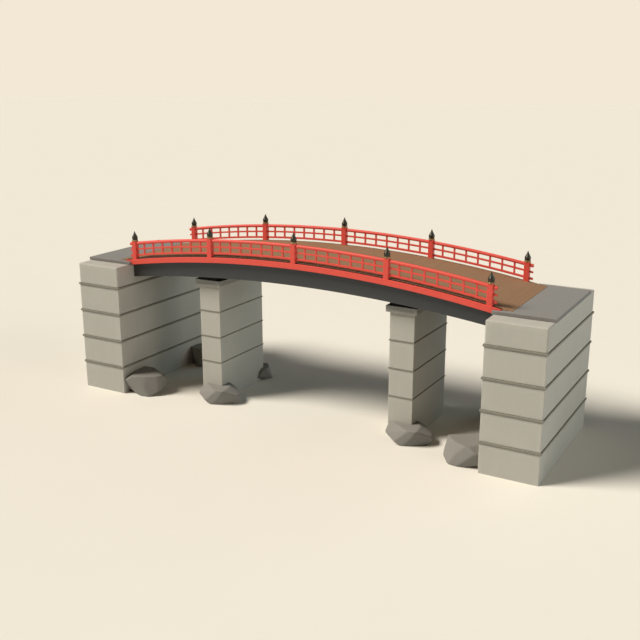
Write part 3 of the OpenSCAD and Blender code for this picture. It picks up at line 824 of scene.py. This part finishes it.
# The hollow arc touches the belly at the angle OGEE and ends at the point, which gives its radius.
upward = rise * math.sin(OGEE)
hollow_r = (2 * BELLY_R * upward - BELLY_R ** 2 - rise ** 2) / (2 * BELLY_R - 2 * upward)
belly = np.linspace(-math.acos(NECK_R / BELLY_R), OGEE, 22)
hollow_mid = (BELLY_R + hollow_r) * np.array([math.cos(OGEE), math.sin(OGEE)]) + (0, BELLY_Z)
tip = math.atan2(FINIAL_H - hollow_mid[1], -hollow_mid[0])
taper = np.linspace(OGEE + math.pi, tip % (2 * math.pi), 22)[1:]
finial_profile = np.concatenate([
    [(NECK_R, 0.0)],
    np.stack([BELLY_R * np.cos(belly), BELLY_Z + BELLY_R * np.sin(belly)], 1),
    hollow_mid + hollow_r * np.stack([np.cos(taper), np.sin(taper)], 1),
])
finial_profile[:, 0] = np.maximum(finial_profile[:, 0], TIP_R)
for side, sign in (("front", -1), ("back", 1)):
    shells = []
    for x_mid in post_places:
        top = on_arch(x_mid, ARCH_R) + POST_H + COLLAR_H
        shells.append((turned(finial_profile, (x_mid, sign * RAIL_Y, top)), 0.0, 0.0))
    add_piece(side + "_onion_finials", shells, dark_bronze, "dark_bronze", side + "_finials")


# Floor, light and camera
# The bridge stands on a plain pale floor that runs out of sight into a backdrop of the same colour and
# throws a plain grey light up. A broad key light stands high at the left front, and two weak, low ones
# at the right end and behind it.
FLOOR_HALF = 400.0
FLOOR_COLOUR = (0.842, 0.763, 0.638, 1)
BOUNCE_COLOUR = (0.72, 0.73, 0.70, 1)
BACKDROP_COLOUR = srgb(242, 232, 213)
CAMERA_PLACE = (22.3576, -39.2992, 17.3808)
CAMERA_DOWN, CAMERA_TURN = 15.6695, 29.6543
CAMERA_LENS, CAMERA_SENSOR = 50.67, 36.0
corners = FLOOR_HALF * np.array([(-1, -1, 0), (1, -1, 0), (1, 1, 0), (-1, 1, 0)])
mesh = bpy.data.meshes.new("floor")
mesh.from_pydata(corners, [], [(0, 1, 2, 3)])
floor = bpy.data.objects.new("floor", mesh)
bpy.context.scene.collection.objects.link(floor)
paper, tree, shader, place = new_material("pale_floor")
mottled = add_noise(tree, place, 0.4, 3.0, 0.5)
mottled = add_math(tree, "ADD", add_math(tree, "MULTIPLY", mottled, 0.02), 0.99)
seen = add_node(tree, "LightPath").outputs["Is Camera Ray"]
shown = mix_colour(tree, seen, BOUNCE_COLOUR, tint(tree, FLOOR_COLOUR, mottled))
tree.links.new(shown, shader.inputs["Base Color"])
shader.inputs["Roughness"].default_value = 0.9
shader.inputs["Specular IOR Level"].default_value = 0.0
mesh.materials.append(paper)

world = bpy.data.worlds.new("soft_surround")
bpy.context.scene.world = world
world.use_nodes = True
tree = world.node_tree
surround = tree.nodes["Background"]
surround.inputs["Color"].default_value = (1.0, 1.0, 1.0, 1)
surround.inputs["Strength"].default_value = 0.04
backdrop = add_node(tree, "Background", {"Color": BACKDROP_COLOUR, "Strength": 1.0})
seen = add_node(tree, "LightPath").outputs["Is Camera Ray"]
both = add_node(tree, "MixShader", {0: seen, 1: surround.outputs[0], 2: backdrop.outputs[0]})
tree.links.new(both.outputs[0], tree.nodes["World Output"].inputs["Surface"])


def add_sun(name, strength, colour, softness, azimuth, height):
    """A broad far light, by the side it stands on, in degrees anticlockwise from +X, and its height in
    degrees above the floor."""
    light = bpy.data.lights.new(name, "SUN")
    light.energy = strength
    light.color = colour
    light.angle = math.radians(softness)
    lamp = bpy.data.objects.new(name, light)
    lamp.rotation_euler = (0, math.radians(90 - height), math.radians(azimuth))
    bpy.context.scene.collection.objects.link(lamp)


add_sun("key_light", 3.9, (1.0, 1.0, 0.98), softness=24, azimuth=216, height=46)
add_sun("fill_light", 1.0, (0.99, 1.0, 1.0), softness=45, azimuth=0, height=15)
add_sun("back_light", 0.5, (0.7, 1.0, 1.2), softness=45, azimuth=45, height=15)

view = bpy.data.cameras.new("camera")
view.sensor_width = CAMERA_SENSOR
view.lens = CAMERA_LENS
camera = bpy.data.objects.new("camera", view)
camera.location = CAMERA_PLACE
camera.rotation_euler = (math.radians(90 - CAMERA_DOWN), 0, math.radians(CAMERA_TURN))
bpy.context.scene.collection.objects.link(camera)
bpy.context.scene.camera = camera
bpy.context.scene.view_settings.view_transform = "Standard"
